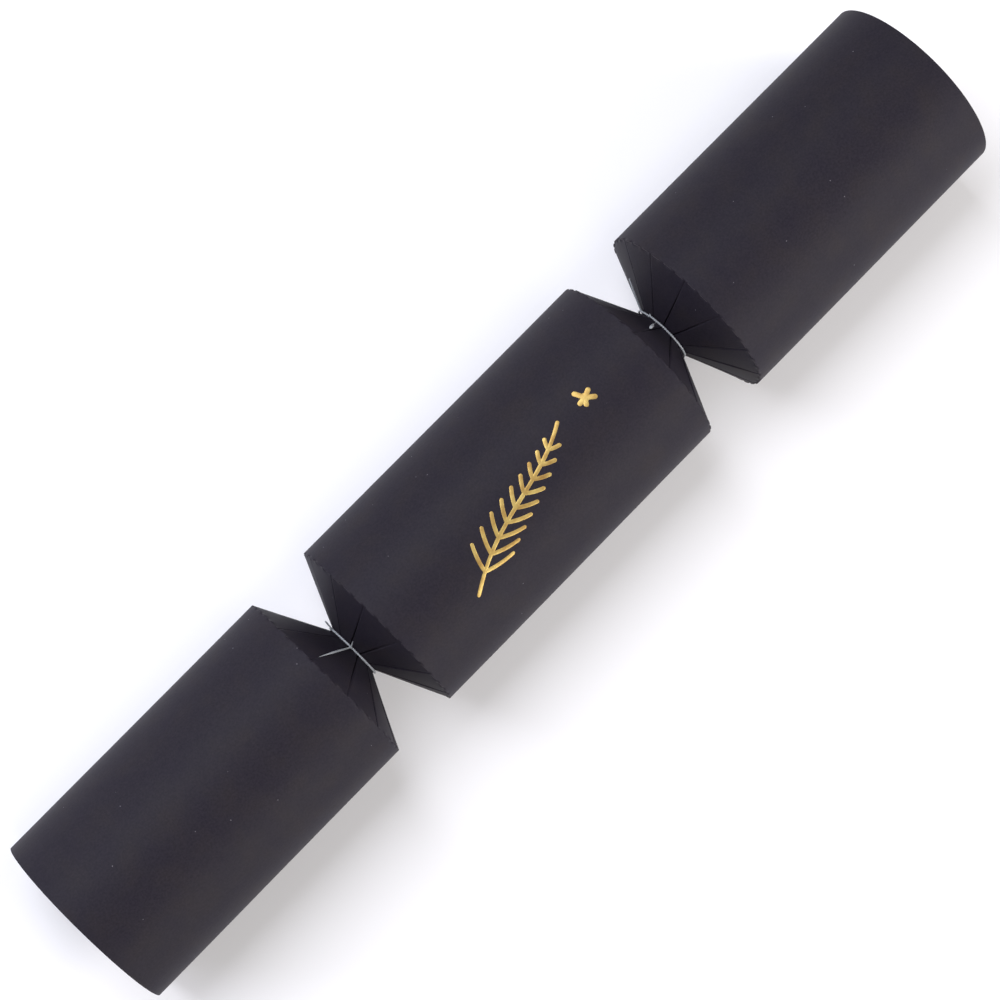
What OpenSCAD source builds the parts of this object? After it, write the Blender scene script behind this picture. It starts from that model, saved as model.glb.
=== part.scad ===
// A Christmas cracker in creased black card, lying on its glued seam.
// The tube runs along X, its axis lies axis_z above the table, and X is zero
// half way along the barrel. A direction round the tube is an angle that
// starts at +Y and turns through +Z.

/* [Card tube] */
// Outside diameter of the rolled tube
tube_d = 48; // [42:0.5:60]
// Thickness of the card
card_t = 0.4; // [0.25:0.05:0.5]
// Length of the barrel, from crease to crease
barrel_len = 87.5; // [80:0.5:120]
// Length of each handle, from its crease to its open rim
handle_len = 78; // [60:0.5:110]
// Length of each drawn-in waist, from crease to crease
waist_len = 17; // [15:0.5:24]

/* [Pleated waist] */
// Diameter over the folded card where the thread draws it in
choke_d = 14.2; // [13:0.1:18]
// Number of pleats that fold inwards round a waist
pleats = 13; // [9:1:15]
// Direction of the first fold line
first_fold = 105; // [0:1:360]
// Width of the slit that a fold leaves on the outside
slit_w = 0.3; // [0.1:0.05:0.5]
// Depth of that slit at the choke
slit_depth = 1.2; // [0.4:0.1:2]
// Gap between the two halves of a waist, for the handle to sway
sway_gap = 0.6; // [0.5:0.05:1]

/* [Glued seam] */
// Width of the strip where the card laps over itself
lap_w = 12; // [10:0.5:18]
// Width of the sticky tape in the lap
tape_w = 8; // [4:0.5:9]
// Thickness of that tape
tape_t = 0.1; // [0.05:0.01:0.2]
// Width over which the card climbs onto the lap
ramp_w = 4; // [2:0.5:8]

/* [Tie thread] */
// Diameter of the thread
thread_d = 0.5; // [0.3:0.05:0.8]
// Diameter of the knot
knot_d = 1.1; // [1:0.1:2.5]
// Diameter where the thread only crosses itself
crossing_d = 0.9; // [0.8:0.1:1.5]
// Clearance between the thread and the card that it draws in
thread_fit = 0.05; // [0.02:0.01:0.2]
// How far a loose end on top stands off the card, measured away from the axis
tail_lift = 2.1; // [1.8:0.1:4]
// The same for a loose end at the side, where the handle sways towards it
side_lift = 3.4; // [3:0.1:5]

/* [Snap] */
// Length of the whole snap, from tip to tip
snap_len = 240; // [180:1:265]
// Width of its card strips
strip_w = 7; // [5:0.1:8]
// Thickness of each strip
strip_t = 0.4; // [0.2:0.05:0.6]
// Length over which the two strips lie on each other
snap_lap = 16; // [10:0.5:30]
// Length of each gritty patch
patch_len = 10; // [5:0.5:10]
// Thickness of each patch
patch_t = 0.12; // [0.05:0.01:0.3]
// Gap between the two patches
patch_gap = 0.1; // [0.05:0.01:0.3]
// Length of the paper band round the lap
band_len = 22; // [12:0.5:40]
// Thickness of the band's paper
band_t = 0.2; // [0.1:0.05:0.4]
// Clearance inside the band
band_fit = 0.15; // [0.05:0.01:0.3]
// Clearance between the pleats and the strips
throat_fit = 0.3; // [0.2:0.05:0.6]

/* [Filling] */
// Clearance between the filling and what it lies on
rest_gap = 0.3; // [0.2:0.05:0.6]
// Diameter of the rolled tissue crown
crown_d = 13; // [10:0.5:16]
// Length of the rolled crown
crown_len = 70; // [50:1:74]
// Thickness of the crown's folded tissue
tissue_t = 0.4; // [0.2:0.05:0.5]
// Width of the rubber ring round the crown
ring_w = 1.5; // [1:0.1:3]
// Thickness of the rubber ring
ring_t = 0.5; // [0.3:0.1:1]
// Diameter of the rolled motto slip
motto_d = 6; // [5:0.5:9]
// Length of the rolled slip
motto_len = 60; // [40:1:74]
// Thickness of the slip's paper
motto_t = 0.25; // [0.1:0.05:0.3]
// Diameter of the spinning top's disc
top_d = 18; // [12:0.5:20]
// Thickness of the disc
top_t = 6; // [4:0.5:9]
// Diameter of its spindle
spindle_d = 3.2; // [2:0.1:4]
// Length of its spindle
spindle_len = 26; // [20:0.5:34]
// How far round the crown lies from the lowest line of the bore
crown_lean = 7; // [0:1:20]
// Distance of the top from the middle of the barrel
top_x = 14; // [0:0.5:20]

/* [Hidden] */
$fn = 96;

tube_r = tube_d / 2;
choke_r = choke_d / 2;
bore_r = tube_r - card_t;
lap_r = tube_r + tape_t;
axis_z = lap_r + card_t;
left = -1;
right = 1;
DOWN = 270;

// Places along X, given as distances from the middle of the barrel
barrel_crease_x = barrel_len / 2;
choke_x = barrel_crease_x + waist_len / 2;
handle_crease_x = barrel_crease_x + waist_len;

// The thread sits in a short straight throat on the barrel's half of the waist
throat_len = thread_d + slit_w;
barrel_cone_len = (waist_len - throat_len) / 2;
handle_cone_len = barrel_cone_len - sway_gap;

// The strips need this radius clear of the pleats
throat_r = norm([strip_w / 2, patch_gap / 2 + patch_t + strip_t]) + throat_fit;

// Each facet between two folds spans this angle
pitch = 360 / pleats;
// Points between two folds outside, and two fewer of them inside
facet_cuts = 4;
ring_n = facet_cuts + 3;
// What a pleat and its slit measure at the crease, where the fold begins
fold_start = 0.1;
// Steps along a cone
cone_steps = 3;

card_colour = "#36323a";
thread_colour = "#b4b8be";
snap_colour = "#b9a98a";
patch_colour = "#6f6258";
tissue_colour = "#9c2230";
slip_colour = "#efe9dc";
wood_colour = "#d3ab74";
rubber_colour = "#c9a47a";
tape_colour = "#dcdad2";

// ---- helpers ----

// Turns a flat profile drawn in Y and Z so that its thickness runs along +X
module along_x(from_x = 0) {
    translate([from_x, 0, axis_z]) rotate([90, 0, 90]) children();
}

// Puts what is drawn for the right end at the end that is asked for
module at_end(side) {
    mirror([side < 0 ? 1 : 0, 0, 0]) children();
}

function width_angle(w, r) = w / r * 180 / PI;
function polar(r, a) = [r * cos(a), r * sin(a)];

// A band between two radii and two directions, less than half a turn apart
module arc_band(r1, r2, a1, a2) {
    far = 2 * r2;
    intersection() {
        difference() {
            circle(r = r2);
            circle(r = r1);
        }
        polygon([[0, 0], polar(far, a1), polar(far, (a1 + a2) / 2), polar(far, a2)]);
    }
}

function blend(a, b, t) = a + t * (b - a);

// ---- the card ----

// One length of the rolled tube, with the card's edge lapped over below: the
// card climbs a ramp from the tube's surface, runs over the tape and ends
module card_tube(len) {
    lap_a = width_angle(lap_w, tube_r);
    ramp_a = width_angle(ramp_w, tube_r);
    lap_start = DOWN - lap_a / 2;
    lap_cuts = 14;
    ramp_cuts = 4;
    under_r = lap_r / cos(lap_a / lap_cuts / 2);
    function ramp(i) = lap_start - ramp_a * (1 - i / ramp_cuts);
    function ramp_r(i) = blend(tube_r - card_t / 4, axis_z, i / ramp_cuts);
    function lap(i) = lap_start + lap_a * i / lap_cuts;
    linear_extrude(height = len) {
        difference() {
            circle(r = tube_r);
            circle(r = bore_r);
        }
        polygon(concat(
            [for (i = [0 : ramp_cuts - 1]) polar(ramp_r(i), ramp(i))],
            [for (i = [0 : lap_cuts]) polar(axis_z, lap(i))],
            [for (i = [lap_cuts : -1 : 0]) polar(under_r, lap(i))],
            [for (i = [ramp_cuts : -1 : 0]) polar(tube_r - card_t / 2, ramp(i))]));
    }
}

// The sticky tape between the two layers of the lap
module seam_tape(len) {
    tape_a = width_angle(tape_w, tube_r);
    linear_extrude(height = len) arc_band(tube_r, lap_r, DOWN - tape_a / 2, DOWN + tape_a / 2);
}

// The folded card from a crease, t = 0, to the choke, t = 1.
// A facet is round at the crease and flat at the choke, and psi is the angle
// from the middle of the facet.
function fold_line_r(t) = tube_r + t * (choke_r - tube_r);
function facet_r(t, psi) = fold_line_r(t) * (1 - t + t * cos(pitch / 2) / cos(psi));

// One pleat of the outside: the bottom of its slit, then the facet after it
function outer_pleat(t) =
    let (edge = asin(slit_w / 2 / fold_line_r(t)))
    concat(
        [polar(fold_line_r(t) - blend(fold_start, slit_depth, t), 0)],
        [for (k = [0 : facet_cuts + 1])
            let (a = blend(edge, pitch - edge, k / (facet_cuts + 1)))
            polar(facet_r(t, a - pitch / 2), a)]);

// One pleat of the inside: a fin of two layers of card that points at the
// axis, then the back of the facet. The fin's tip keeps clear of the snap.
function inner_pleat(t, wall_r) =
    let (
        root_r = fold_line_r(t) - wall_r,
        tip_r = root_r - blend(fold_start, choke_r - wall_r - throat_r, t),
        root_a = asin(card_t / root_r),
        tip_a = asin(card_t / tip_r))
    concat(
        [polar(tip_r, 0), polar(tip_r, tip_a)],
        [for (k = [0 : facet_cuts - 1])
            let (a = blend(root_a, pitch - root_a, k / (facet_cuts - 1)))
            polar(facet_r(t, a - pitch / 2) - wall_r, a)],
        [polar(tip_r, pitch - tip_a)]);

// All the pleats of one ring, turned to their places and set at x
function ring_of(pleat, x) = [
    for (i = [0 : pleats - 1], p = pleat)
        let (r = norm(p), a = atan2(p[1], p[0]) + first_fold + i * pitch)
        [x, r * cos(a), r * sin(a)]];

// A pleated cone that narrows along +X over len, with a straight throat after it
module pleated_cone(len, throat) {
    slope = atan((tube_r - choke_r) / len);
    wall_r = card_t / cos(slope);
    n = pleats * ring_n;
    stations = concat(
        [for (k = [0 : cone_steps]) [k / cone_steps, len * k / cone_steps]],
        throat > 0 ? [[1, len + throat]] : []);
    last = len(stations) - 1;
    points = [for (s = stations, p = concat(
        ring_of(outer_pleat(s[0]), s[1]),
        ring_of(inner_pleat(s[0], wall_r), s[1]))) p];
    function outer(s, j) = 2 * n * s + j % n;
    function inner(s, j) = outer(s, j) + n;
    // the two halves of a pleat mirror each other, and so do their triangles
    function first_half(j) = j % ring_n < ring_n / 2;
    walls = [for (s = [0 : last - 1], j = [0 : n - 1], f = [
        [outer(s, j), outer(s + 1, j + 1), outer(s, j + 1)],
        [outer(s, j), outer(s + 1, j), outer(s + 1, j + 1)],
        [inner(s, j), inner(s, j + 1), inner(s + 1, j + 1)],
        [inner(s, j), inner(s + 1, j + 1), inner(s + 1, j)]]) f];
    function rim(s, j) =
        let (i0 = inner(s, j), i1 = inner(s, j + 1), o0 = outer(s, j), o1 = outer(s, j + 1))
        first_half(j) ? [[i0, o0, i1], [o0, o1, i1]] : [[i0, o0, o1], [i0, o1, i1]];
    function turned(f) = [f[2], f[1], f[0]];
    rims = [for (j = [0 : n - 1], f = concat(
        rim(0, j), [for (g = rim(last, j)) turned(g)])) f];
    polyhedron(points = points, faces = concat(walls, rims));
}

// The half of a waist on the barrel's side, which the thread holds
module barrel_cone(side) {
    color(card_colour)
    at_end(side) translate([barrel_crease_x, 0, axis_z]) pleated_cone(barrel_cone_len, throat_len);
}

// The half on the handle's side
module handle_cone(side) {
    color(card_colour)
    at_end(side) translate([handle_crease_x, 0, axis_z]) mirror([1, 0, 0])
        pleated_cone(handle_cone_len, 0);
}

module barrel_tube() {
    color(card_colour) along_x(-barrel_crease_x) card_tube(barrel_len);
}

module barrel_seam_tape() {
    color(tape_colour) along_x(-barrel_crease_x) seam_tape(barrel_len);
}

module handle_tube(side) {
    color(card_colour) along_x(side < 0 ? -handle_crease_x - handle_len : handle_crease_x)
        card_tube(handle_len);
}

module handle_seam_tape(side) {
    color(tape_colour) along_x(side < 0 ? -handle_crease_x - handle_len : handle_crease_x)
        seam_tape(handle_len);
}

// ---- the ties ----

loop_r = choke_r + thread_fit + thread_d / 2;

// Radius of the folded card's fold lines at a distance from the choke,
// counted outwards to the handle and inwards to the barrel
function card_r(out) = out > 0
    ? blend(choke_r, tube_r, (out - throat_len / 2 - sway_gap) / handle_cone_len)
    : blend(choke_r, tube_r, (-out - throat_len / 2) / barrel_cone_len);

function off_axis(out, r, a) = [out, r * cos(a), r * sin(a)];

// A straight length of thread, cut off square
module thread_between(p, q) {
    run = q - p;
    translate(p) rotate([0, acos(run[2] / norm(run)), atan2(run[1], run[0])])
        cylinder(d = thread_d, h = norm(run), $fn = 16);
}

// A knot sits on the throat, high enough to clear the barrel's cone beside it
function knot_at(d) =
    let (room = d / 2 + thread_fit, slope = (tube_r - choke_r) / barrel_cone_len)
    choke_r + max(room, room * norm([1, slope]) - throat_len / 2 * slope);

// A loop of thread round the throat, its knots, and the loose ends that stand
// off the card. A knot is [its direction, its diameter]. An end is [which knot
// it leaves, how far it reaches towards the handle, the direction of its tip,
// how far its tip is lifted off the card].
module tie(knots, ends) {
    function middle(k) = off_axis(0, knot_at(k[1]), k[0]);
    rotate([0, 90, 0]) rotate_extrude($fn = 48)
        translate([loop_r, 0]) circle(d = thread_d, $fn = 16);
    for (k = knots) translate(middle(k)) sphere(d = k[1], $fn = 16);
    for (e = ends)
        thread_between(middle(knots[e[0]]), off_axis(e[1], card_r(e[1]) + e[3], e[2]));
}

left_knots = [[80, knot_d], [24, crossing_d]];
left_ends = [[0, 6.5, 75, tail_lift], [0, -1.3, 82, tail_lift], [1, -0.2, 18, side_lift]];
right_knots = [[66, knot_d], [30, crossing_d]];
right_ends = [[0, -3, 77, tail_lift], [1, 3.6, 22, side_lift]];

module tie_at(side, knots, ends) {
    color(thread_colour) at_end(side) translate([choke_x, 0, axis_z]) tie(knots, ends);
}

// ---- the snap ----

// Heights of the strips and patches above the snap's middle plane
patch_z = patch_gap / 2;
strip_z = patch_z + patch_t;
snap_half = snap_len / 2;

// The left strip lies above the middle plane, and the right strip below it
module at_level(side) {
    translate([0, 0, axis_z]) mirror([0, 0, side < 0 ? 0 : 1]) at_end(side) children();
}

module snap_strip(side) {
    color(snap_colour) at_level(side) translate([-snap_lap / 2, -strip_w / 2, strip_z])
        cube([snap_half + snap_lap / 2, strip_w, strip_t]);
}

module snap_patch(side) {
    color(patch_colour) at_level(side) translate([-patch_len / 2, -strip_w / 2, patch_z])
        cube([patch_len, strip_w, patch_t]);
}

module snap_band() {
    in_w = strip_w + 2 * band_fit;
    in_h = 2 * (strip_z + strip_t + band_fit);
    color(slip_colour) along_x(-band_len / 2) linear_extrude(height = band_len) difference() {
        square([in_w + 2 * band_t, in_h + 2 * band_t], center = true);
        square([in_w, in_h], center = true);
    }
}

// ---- the filling ----

// The pieces lie in the bore side by side and lean on the crown. A piece of
// radius r has its middle seat(r) from the tube's axis.
crown_room_r = crown_d / 2 + ring_t;
function seat(r) = bore_r - rest_gap - r;
function angle_between(r1, r2) =
    acos((seat(r1)^2 + seat(r2)^2 - (r1 + r2 + rest_gap)^2) / (2 * seat(r1) * seat(r2)));
crown_a = DOWN - crown_lean;
motto_a = crown_a - angle_between(crown_room_r, motto_d / 2);
top_a = crown_a + angle_between(crown_room_r, top_d / 2);

module lying_at(r, a, from_x) {
    along_x(from_x) translate(polar(seat(r), a)) children();
}

// Paper of thickness t rolled up from r_in to r_out with a paper's width between turns
module roll(r_in, r_out, t, len) {
    step = 15;
    turn_gap = 2 * t;
    end_a = 360 * (r_out - t - r_in) / turn_gap;
    steps = floor(end_a / step);
    function at(i) = end_a * i / steps;
    linear_extrude(height = len) polygon(concat(
        [for (i = [0 : steps]) polar(r_in + turn_gap * at(i) / 360, at(i))],
        [for (i = [steps : -1 : 0]) polar(r_in + t + turn_gap * at(i) / 360, at(i))]));
}

module crown_roll() {
    core_r = 1.5;
    color(tissue_colour) lying_at(crown_room_r, crown_a, -crown_len / 2)
        roll(core_r, crown_d / 2, tissue_t, crown_len);
}

module crown_ring() {
    color(rubber_colour) lying_at(crown_room_r, crown_a, -ring_w / 2)
        linear_extrude(height = ring_w) difference() {
            circle(r = crown_room_r);
            circle(r = crown_d / 2);
        }
}

module motto_roll() {
    core_r = 1;
    color(slip_colour) lying_at(motto_d / 2, motto_a, -motto_len / 2)
        roll(core_r, motto_d / 2, motto_t, motto_len);
}

// The disc's rim is rounded, and it is thicker at its middle
spindle_fit = 0.02;
disc_at = 0.4;
module top_disc() {
    rim_t = top_t * 0.5;
    hub_r = top_d * 0.22;
    color(wood_colour) lying_at(top_d / 2, top_a, top_x) rotate_extrude($fn = 48) difference() {
        union() {
            square([hub_r, top_t]);
            translate([0, (top_t - rim_t) / 2]) square([top_d / 2 - rim_t / 2, rim_t]);
            translate([top_d / 2 - rim_t / 2, top_t / 2]) circle(d = rim_t, $fn = 16);
        }
        translate([-top_d, -1]) square([top_d + spindle_d / 2 + spindle_fit, top_t + 2]);
    }
}

module top_spindle() {
    point_len = spindle_d;
    from_x = top_x + top_t / 2 - spindle_len * disc_at;
    r = spindle_d / 2;
    color(wood_colour) lying_at(top_d / 2, top_a, from_x) rotate_extrude($fn = 32)
        polygon([[0, 0], [r, point_len], [r, spindle_len], [0, spindle_len]]);
}

barrel_tube();
barrel_seam_tape();
barrel_cone(left);  // left_barrel_cone
handle_cone(left);  // left_handle_cone
handle_tube(left);  // left_handle_tube
handle_seam_tape(left);  // left_seam_tape
tie_at(left, left_knots, left_ends);  // left_tie
barrel_cone(right);  // right_barrel_cone
handle_cone(right);  // right_handle_cone
handle_tube(right);  // right_handle_tube
handle_seam_tape(right);  // right_seam_tape
tie_at(right, right_knots, right_ends);  // right_tie
snap_strip(left);  // left_snap_strip
snap_patch(left);  // left_snap_patch
snap_strip(right);  // right_snap_strip
snap_patch(right);  // right_snap_patch
snap_band();
crown_roll();
crown_ring();
motto_roll();
top_disc();
top_spindle();
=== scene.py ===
# %% [markdown]
# # A Christmas cracker in black card
# The cracker is one die-cut sheet of thin black card, rolled into a tube and
# drawn in at two waists, where a thread gathers it into pleats. This lesson
# dresses the measured model of it: each surface is a function of two
# parameters, worked out with numpy, and each finish starts from what the real
# material is. X runs along the cracker, and a direction round it is an angle
# that starts at +Y and turns through +Z.

# %% Load the measured model
import math

import bpy
import numpy as np
from mathutils import Matrix, Vector


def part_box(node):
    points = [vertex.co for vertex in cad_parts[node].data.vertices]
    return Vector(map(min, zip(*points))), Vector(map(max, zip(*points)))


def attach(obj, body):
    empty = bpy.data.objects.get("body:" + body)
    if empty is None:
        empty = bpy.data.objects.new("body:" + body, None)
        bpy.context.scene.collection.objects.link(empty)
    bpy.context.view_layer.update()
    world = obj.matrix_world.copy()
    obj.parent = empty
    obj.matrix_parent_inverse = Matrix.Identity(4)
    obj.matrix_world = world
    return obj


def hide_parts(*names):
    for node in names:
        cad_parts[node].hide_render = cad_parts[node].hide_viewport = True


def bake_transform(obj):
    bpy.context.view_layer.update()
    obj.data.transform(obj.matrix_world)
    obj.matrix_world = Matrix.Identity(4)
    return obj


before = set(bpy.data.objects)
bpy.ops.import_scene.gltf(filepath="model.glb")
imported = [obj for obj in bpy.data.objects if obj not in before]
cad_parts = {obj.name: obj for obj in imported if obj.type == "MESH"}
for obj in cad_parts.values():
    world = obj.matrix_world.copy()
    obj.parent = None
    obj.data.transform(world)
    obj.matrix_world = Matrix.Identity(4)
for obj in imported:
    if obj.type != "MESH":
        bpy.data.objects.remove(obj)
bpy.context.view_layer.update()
mm = 0.001
rng = np.random.default_rng(24)

# %% [markdown]
# ## Sizes
# The lengths and the tube's radius are read from the model, so the dressed
# pieces land where the plain ones are. What a box can't tell, such as the
# thickness of the card or the number of pleats, is named here.

# %% Sizes read from the model
tube_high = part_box("barrel_tube")[1]
tube_r = tube_high.y
axis_z = tube_high.z - tube_r
barrel_crease = tube_high.x
handle_crease, rim_x = (corner.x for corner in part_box("right_handle_tube"))
throat_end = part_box("right_barrel_cone")[1].x
choke_x = (barrel_crease + handle_crease) / 2
print(f"tube radius {tube_r / mm:.1f} mm, axis {axis_z / mm:.1f} mm above the table")

# %% Sizes of the card and its folds
# directions and angles round the cracker are in degrees
card_t = 0.4 * mm
pleats = 13
pitch = 360 / pleats
# a choke's radius, out to its folds, and the direction of the first fold
choke_r = 7.1 * mm
first_fold = 105
# inside a choke the folded card stops this far from the axis, clear of the snap
snap_room = 3.85 * mm
# the seam underneath: a lap of 12 mm, which the sheet climbs by a ramp of 4 mm
lap_a = math.degrees(12 * mm / tube_r)
ramp_a = math.degrees(4 * mm / tube_r)
lap_start = 270 - lap_a / 2
# the perforated creases: cuts, with bridges of 1.4 mm between them that hold the card
cuts_per_pleat = 3
period = pitch / cuts_per_pleat
bridge_a = math.degrees(1.4 * mm / tube_r)
print(f"a perforation repeats every {math.radians(period) * tube_r / mm:.2f} mm")

# %% [markdown]
# ## From grids of points to solid pieces
# A sheet of card has an outside, an inside and a cut edge. Two grids of points
# of the same shape give the first two, and a strip of faces along the free
# edges closes them into one solid. numpy works out whole grids at once, which
# is both short to write and fast.

# %% Points round the axis, and smooth steps
def on_axis(x, r, a):
    """Points at x along the cracker and r from its axis, in direction a:
    y = r cos a and z = axis_z + r sin a."""
    x, r, a = np.broadcast_arrays(x, r, np.radians(a))
    return np.stack([x, r * np.cos(a), axis_z + r * np.sin(a)], -1)


def smooth_step(low, high, v):
    """0 below low, 1 above high, and 3s^2 - 2s^3 between, for s the share of the way."""
    s = np.clip((v - low) / (high - low), 0, 1)
    return s * s * (3 - 2 * s)


# %% Faces of a grid, and of a closed sheet
def grid_faces(rows, cols, ring):
    """Squares that join each point of a grid with the next in its row and the
    two after them in the next row. In a ring the last column joins the first."""
    j = np.arange(cols if ring else cols - 1)
    here = np.arange(rows - 1)[:, None] * cols + j
    beside = np.arange(rows - 1)[:, None] * cols + (j + 1) % cols
    return np.stack([here, beside, beside + cols, here + cols], -1).reshape(-1, 4)


def thick_sheet(outer, inner, ring):
    """Points and faces of a closed solid between two grids of points, and how
    many of its last faces are cut edges."""
    rows, cols = outer.shape[:2]
    count = rows * cols
    points = np.concatenate([outer.reshape(-1, 3), inner.reshape(-1, 3)])
    skin = grid_faces(rows, cols, ring)
    index = np.arange(count).reshape(rows, cols)
    if ring:
        index = np.concatenate([index, index[:, :1]], 1)
        lines = [index[0, ::-1], index[-1]]
    else:
        lines = [index[0, ::-1], index[-1], index[:, 0], index[::-1, -1]]
    edges = np.concatenate([
        np.stack([n[:-1], n[1:], n[1:] + count, n[:-1] + count], -1) for n in lines])
    return points, np.concatenate([skin, skin[:, ::-1] + count, edges]), len(edges)


# %% A piece from points and faces
def outward(points, faces):
    """The faces, turned over if the volume they enclose, the sum of a.(b x c)/6
    over their triangles, is negative."""
    a, b, c, d = (points[faces[:, k]] for k in range(4))
    volume = np.einsum("ij,ij->", a, np.cross(b, c)) + np.einsum("ij,ij->", a, np.cross(c, d))
    return faces if volume > 0 else faces[:, ::-1]


def new_piece(name, points, faces, looks, cut_edges=0, crisp=38, caps=()):
    """An object at the origin with its place in its mesh. Its last faces are
    its cut edges and take the second look. Edges sharper than crisp stay sharp."""
    mesh = bpy.data.meshes.new(name)
    turned = outward(points, faces)
    caps = [list(c) if turned is faces else list(c)[::-1] for c in caps]
    mesh.from_pydata(points.tolist(), [], turned.tolist() + caps)
    for look in looks:
        mesh.materials.append(look)
    which = np.zeros(len(mesh.polygons), np.int32)
    if cut_edges:
        which[len(faces) - cut_edges:len(faces)] = 1
    mesh.polygons.foreach_set("material_index", which)
    mesh.shade_smooth()
    mesh.set_sharp_from_angle(angle=math.radians(crisp))
    mesh.update()
    piece = bpy.data.objects.new(name, mesh)
    bpy.context.scene.collection.objects.link(piece)
    print(f"{name}: {len(points)} points, {len(mesh.polygons)} faces")
    return piece


# %% [markdown]
# ## Materials, and the helper that writes them
# A material is a small tree of nodes. One function adds any node with its
# settings and its inputs: an input that is another node's output is linked, and
# anything else is set on the socket. Colours are written as the sRGB hex that a
# painter would pick, and turned linear once.

# %% Colours and nodes
def linear(hex_code):
    """sRGB hex to linear RGBA: c / 12.92 below 0.04045, else ((c + 0.055) / 1.055)^2.4."""
    c = np.array([int(hex_code[i:i + 2], 16) for i in (1, 3, 5)]) / 255
    c = np.where(c < 0.04045, c / 12.92, ((c + 0.055) / 1.055) ** 2.4)
    return (*c.tolist(), 1.0)


def add_node(tree, kind, inputs=None, **settings):
    """A new node of a kind, with its settings, and its inputs set or linked."""
    node = tree.nodes.new(kind)
    for key, value in settings.items():
        setattr(node, key, value)
    for key, value in (inputs or {}).items():
        if isinstance(value, bpy.types.NodeSocket):
            tree.links.new(value, node.inputs[key])
        else:
            node.inputs[key].default_value = value
    return node


def start_look(name, **constants):
    """A material with its tree, its Principled shader and the object's own
    coordinates, in metres. Constants are set on the shader's sockets."""
    look = bpy.data.materials.new(name)
    look.use_nodes = True
    shader = look.node_tree.nodes["Principled BSDF"]
    for key, value in constants.items():
        shader.inputs[key.replace("_", " ")].default_value = value
    place = add_node(look.node_tree, "ShaderNodeTexCoord").outputs["Object"]
    return look, look.node_tree, shader, place


def colour_steps(tree, amount, *steps):
    """The colour at an amount, between steps of (position, hex)."""
    ramp = add_node(tree, "ShaderNodeValToRGB", {"Fac": amount})
    while len(ramp.color_ramp.elements) < len(steps):
        ramp.color_ramp.elements.new(0.5)
    for element, (position, hex_code) in zip(ramp.color_ramp.elements, steps):
        element.position = position
        element.color = linear(hex_code)
    return ramp.outputs["Color"]


# %% [markdown]
# ### Black card, dyed through and calendered
# Craft card of this kind is matte, but its pressed fibres still catch light at
# a low angle, so its flanks go grey while its top stays nearly black. Up close
# it is mottled from purple to brown, finely grained, and it holds a little pale
# dust. The grain is 0.5 mm here, coarser than real fibres, so that it shows.

# %% Black card
card_grain = 0.5 * mm
card_mottle = 7 * mm
dust_spacing = 3.5 * mm
dust_size = 0.13 * mm
dusty_share = 0.5
grain_share = 0.3
grain_depth = 0.02 * mm

black_card, tree, shader, place = start_look(
    "black_card_calendered", Roughness=0.56, Specular_IOR_Level=0.1)
mottle = add_node(tree, "ShaderNodeTexNoise", {
    "Vector": place, "Scale": 1 / card_mottle, "Detail": 3.0})
grain = add_node(tree, "ShaderNodeTexNoise", {
    "Vector": place, "Scale": 1 / card_grain, "Detail": 2.0})
specks = add_node(tree, "ShaderNodeTexVoronoi", {"Vector": place, "Scale": 1 / dust_spacing})
near_speck = add_node(tree, "ShaderNodeMath", {
    0: specks.outputs["Distance"], 1: dust_size / dust_spacing}, operation="LESS_THAN")
speck_number = add_node(tree, "ShaderNodeSeparateColor", {"Color": specks.outputs["Color"]})
some_of_them = add_node(tree, "ShaderNodeMath", {
    0: speck_number.outputs["Red"], 1: 1 - dusty_share}, operation="GREATER_THAN")
dusty = add_node(tree, "ShaderNodeMath", {
    0: near_speck.outputs[0], 1: some_of_them.outputs[0]}, operation="MULTIPLY")
# a colour mix keeps its factor and its two colours in inputs 0, 6 and 7, and gives output 2
grained = add_node(tree, "ShaderNodeMix", {
    0: grain_share,
    6: colour_steps(tree, mottle.outputs["Fac"],
                    (0.3, "#1e1b25"), (0.5, "#211e26"), (0.72, "#252126")),
    7: colour_steps(tree, grain.outputs["Fac"], (0.3, "#141217"), (0.7, "#2c282e"))},
    data_type="RGBA")
dusted = add_node(tree, "ShaderNodeMix", {
    0: dusty.outputs[0], 6: grained.outputs[2], 7: linear("#66636a")}, data_type="RGBA")
tree.links.new(dusted.outputs[2], shader.inputs["Base Color"])
card_bump = add_node(tree, "ShaderNodeBump", {
    "Height": grain.outputs["Fac"], "Distance": grain_depth, "Strength": 0.6})
tree.links.new(card_bump.outputs["Normal"], shader.inputs["Normal"])
print("made", black_card.name)

# %% [markdown]
# ### The card's cut edge
# Where the blade went through, the loose ends of the fibres scatter more light
# than the pressed face, so the rims and the teeth are a little paler.

# %% Cut edge of the card
fibre_bundle = 0.3 * mm

cut_edge, tree, shader, place = start_look(
    "black_card_cut_edge", Roughness=0.8, Specular_IOR_Level=0.2)
layers = add_node(tree, "ShaderNodeTexNoise", {
    "Vector": place, "Scale": 1 / fibre_bundle, "Detail": 2.0})
tree.links.new(colour_steps(tree, layers.outputs["Fac"], (0.3, "#2b282d"), (0.7, "#4c474b")),
               shader.inputs["Base Color"])
print("made", cut_edge.name)

# %% [markdown]
# ### Silver-grey sewing thread
# Two plies of shiny polyester, twisted together. The twist is in the shape, and
# a fine stripe across it stands for the filaments.

# %% Thread
filament_width = 0.15 * mm

thread_look, tree, shader, place = start_look(
    "polyester_thread_twisted", Roughness=0.38, Specular_IOR_Level=0.6,
    Sheen_Weight=0.3, Sheen_Roughness=0.4)
filament = add_node(tree, "ShaderNodeTexNoise", {
    "Vector": place, "Scale": 1 / filament_width, "Detail": 2.0})
tree.links.new(colour_steps(tree, filament.outputs["Fac"], (0.3, "#74797f"), (0.7, "#a3a8ad")),
               shader.inputs["Base Color"])
print("made", thread_look.name)

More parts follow.
